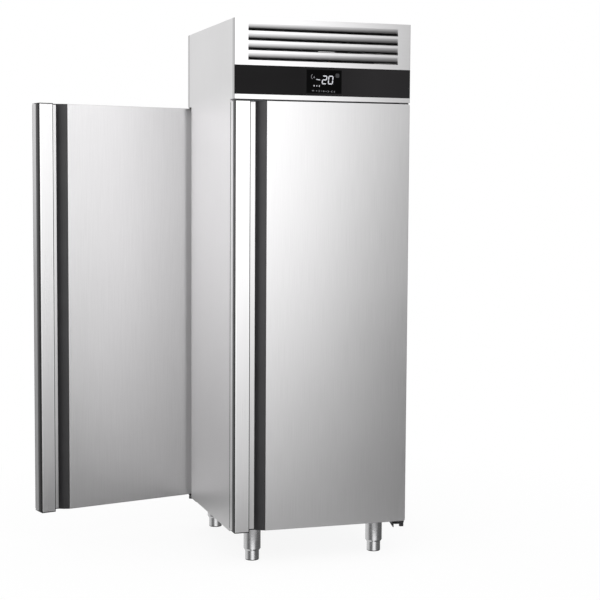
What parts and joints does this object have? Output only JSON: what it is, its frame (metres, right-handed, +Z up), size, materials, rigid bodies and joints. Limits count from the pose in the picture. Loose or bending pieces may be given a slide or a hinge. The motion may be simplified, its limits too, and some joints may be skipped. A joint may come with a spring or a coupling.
{
  "type": "pass-through upright freezer",
  "caption": "Upright stainless freezer with a door on each long side, louvred fascia, black display panel, wire shelves on ribbed walls and adjustable legs.",
  "frame": {"origin": "middle of the cabinet's footprint, on the floor", "axes": "+Z up, the side with the control panel faces -Y, the plain side faces +Y, +X to the right of someone who faces the control panel"},
  "size_m": [1.3271, 0.7841, 2.01],
  "materials": {
    "shell_steel": "satin",
    "handle_steel": "satin",
    "galvanised_steel": "matte",
    "liner_steel": "satin",
    "polished_steel": "polished",
    "shelf_wire": "polished",
    "hinge_steel": "satin",
    "panel_black": "gloss",
    "black_plastic": "matte",
    "grip_plastic": "satin",
    "frame_plastic": "matte",
    "wall_foam": "matte",
    "seal_rubber": "matte",
    "lamp_cover": "satin",
    "housing_plastic": "matte",
    "fin_aluminium": "satin",
    "heater_steel": "satin",
    "motor_paint": "satin",
    "compressor_paint": "satin",
    "grommet_rubber": "matte",
    "copper": "satin",
    "drain_rubber": "matte"
  },
  "bodies": {
    "cabinet": {"left_side_panel": "shell_steel", "right_side_panel": "shell_steel", "top_cover": "shell_steel", "front_fascia": "shell_steel", "rear_fascia": "shell_steel", "base_panel": "galvanised_steel", "machine_deck": "galvanised_steel", "condenser_fan_shroud": "galvanised_steel", "left_liner": "liner_steel", "right_liner": "liner_steel", "floor_liner": "liner_steel", "ceiling_liner": "liner_steel", "duct_panel": "liner_steel", "leg_sleeves": "polished_steel", "front_top_hinge": "hinge_steel", "front_bottom_hinge": "hinge_steel", "rear_top_hinge": "hinge_steel", "rear_bottom_hinge": "hinge_steel", "control_panel": "panel_black", "display_lens": "panel_black", "cable_gland": "black_plastic", "controller_box": "black_plastic", "evaporation_tray": "black_plastic", "breaker_frames": "frame_plastic", "cabinet_insulation": "wall_foam", "interior_lamp": "lamp_cover", "evaporator_housing": "housing_plastic", "evaporator_coil": "fin_aluminium", "condenser_coil": "fin_aluminium", "defrost_heater": "heater_steel", "evaporator_fan_motor": "motor_paint", "condenser_fan_motor": "motor_paint", "compressor": "compressor_paint", "compressor_grommets": "grommet_rubber", "refrigerant_pipes": "copper", "filter_drier": "copper", "drain_tube": "drain_rubber"},
    "front_door": {"front_door_skin": "shell_steel", "front_door_liner": "liner_steel", "front_door_foam": "wall_foam", "front_door_gasket": "seal_rubber", "front_door_handle": "handle_steel", "front_door_grip_insert": "grip_plastic", "front_door_bushes": "black_plastic"},
    "rear_door": {"rear_door_skin": "shell_steel", "rear_door_liner": "liner_steel", "rear_door_foam": "wall_foam", "rear_door_gasket": "seal_rubber", "rear_door_handle": "handle_steel", "rear_door_grip_insert": "grip_plastic", "rear_door_bushes": "black_plastic"},
    "front_left_foot": {"foot_front_left": "polished_steel"},
    "front_right_foot": {"foot_front_right": "polished_steel"},
    "rear_left_foot": {"foot_rear_left": "polished_steel"},
    "rear_right_foot": {"foot_rear_right": "polished_steel"},
    "lower_wire_shelf": {"lower_shelf": "shelf_wire"},
    "middle_wire_shelf": {"middle_shelf": "shelf_wire"},
    "upper_wire_shelf": {"upper_shelf": "shelf_wire"},
    "condenser_fan": {"condenser_fan_blades": "black_plastic"},
    "evaporator_fan": {"evaporator_fan_blades": "black_plastic"}
  },
  "joints": [
    {"name": "front_door_hinge", "type": "hinge", "parent": "cabinet", "child": "front_door", "pos_m": [0.33, -0.356, 0.9], "axis": [0, 0, 1], "range_deg": [0, 195]},
    {"name": "rear_door_hinge", "type": "hinge", "parent": "cabinet", "child": "rear_door", "pos_m": [-0.33, 0.356, 0.9], "axis": [0, 0, 1], "range_deg": [-195, 0]},
    {"name": "front_left_foot_height", "type": "slide", "parent": "cabinet", "child": "front_left_foot", "axis": [0, 0, -1], "range_m": [-0.01, 0.03]},
    {"name": "front_right_foot_height", "type": "slide", "parent": "cabinet", "child": "front_right_foot", "axis": [0, 0, -1], "range_m": [-0.01, 0.03]},
    {"name": "rear_left_foot_height", "type": "slide", "parent": "cabinet", "child": "rear_left_foot", "axis": [0, 0, -1], "range_m": [-0.01, 0.03]},
    {"name": "rear_right_foot_height", "type": "slide", "parent": "cabinet", "child": "rear_right_foot", "axis": [0, 0, -1], "range_m": [-0.01, 0.03]},
    {"name": "lower_shelf_slide", "type": "slide", "parent": "cabinet", "child": "lower_wire_shelf", "axis": [0, 1, 0], "range_m": [0, 0.25]},
    {"name": "middle_shelf_slide", "type": "slide", "parent": "cabinet", "child": "middle_wire_shelf", "axis": [0, 1, 0], "range_m": [0, 0.25]},
    {"name": "upper_shelf_slide", "type": "slide", "parent": "cabinet", "child": "upper_wire_shelf", "axis": [0, 1, 0], "range_m": [0, 0.25]},
    {"name": "condenser_fan_spin", "type": "hinge", "parent": "cabinet", "child": "condenser_fan", "pos_m": [-0.15, -0.231, 1.8162], "axis": [0, 1, 0], "continuous": true},
    {"name": "evaporator_fan_spin", "type": "hinge", "parent": "cabinet", "child": "evaporator_fan", "pos_m": [-0.09, 0.165, 1.74], "axis": [0, 0, 1], "continuous": true}
  ]
}
